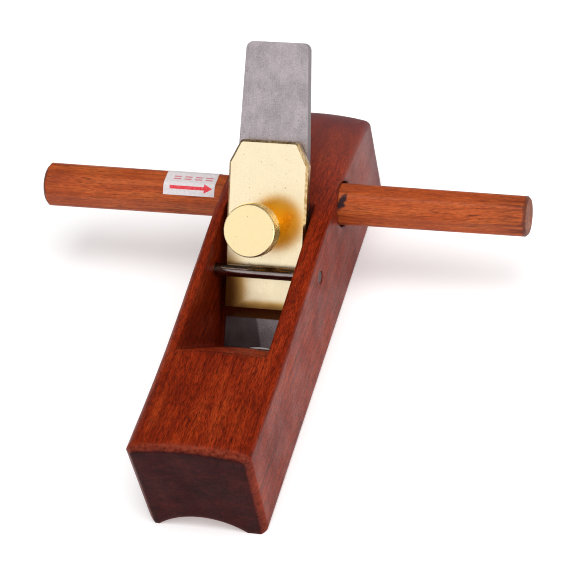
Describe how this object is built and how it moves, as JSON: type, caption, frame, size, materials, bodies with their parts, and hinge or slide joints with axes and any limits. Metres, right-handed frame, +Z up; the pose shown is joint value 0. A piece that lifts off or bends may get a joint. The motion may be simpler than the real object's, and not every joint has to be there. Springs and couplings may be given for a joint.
{
  "type": "hand plane",
  "caption": "Wooden hand plane with a hollow sole, a wedged blade under a brass lever cap with a thumbscrew, a steel cross pin and a cross handle.",
  "frame": {"origin": "on the plane that the sole's feet stand on, under the middle of the overall box (half-way along the cross handle and half-way from toe to heel)", "axes": "+X along the cross handle towards its thin end (to the user's left when pushing), +Y from toe to heel, +Z up from the sole"},
  "size_m": [0.207, 0.194, 0.1014],
  "materials": {
    "body_wood": "oiled dark red-brown hardwood",
    "handle_wood": "oiled orange-brown hardwood",
    "iron_steel": "matt ground",
    "cap_brass": "satin",
    "screw_brass": "satin, knurled rim",
    "stud_brass": "as cut",
    "pin_steel": "polished",
    "label_paper": "printed"
  },
  "bodies": {
    "plane_body": {"plane_body": "body_wood", "cross_pin": "pin_steel"},
    "cutting_iron": {"cutting_iron": "iron_steel"},
    "lever_cap": {"lever_cap": "cap_brass"},
    "screw_stud": {"screw_stud": "stud_brass"},
    "screw_head": {"screw_head": "screw_brass"},
    "cross_handle": {"cross_handle": "handle_wood", "direction_label": "label_paper"}
  },
  "joints": [
    {"name": "iron_feed", "type": "slide", "parent": "plane_body", "child": "cutting_iron", "axis": [0, 0.6444, 0.7647], "range_m": [-0.001, 0.07]},
    {"name": "cap_slide", "type": "slide", "parent": "plane_body", "child": "lever_cap", "axis": [0, 0.6444, 0.7647], "range_m": [-0.01, 0.05]},
    {"name": "thumbscrew_travel", "type": "slide", "parent": "lever_cap", "child": "screw_stud", "axis": [0, -0.7647, 0.6444], "range_m": [0, 0.004]},
    {"name": "thumbscrew_turn", "type": "hinge", "parent": "screw_stud", "child": "screw_head", "pos_m": [0.0007, 0.00885, 0.05779], "axis": [0, -0.7647, 0.6444], "range_deg": [0, 1440]},
    {"name": "handle_withdraw", "type": "slide", "parent": "plane_body", "child": "cross_handle", "axis": [-1, 0, 0], "range_m": [0, 0.127]}
  ],
  "couplings": [
    {"joint": "thumbscrew_turn", "follows": "thumbscrew_travel", "rad_per_m": 6283.2}
  ]
}
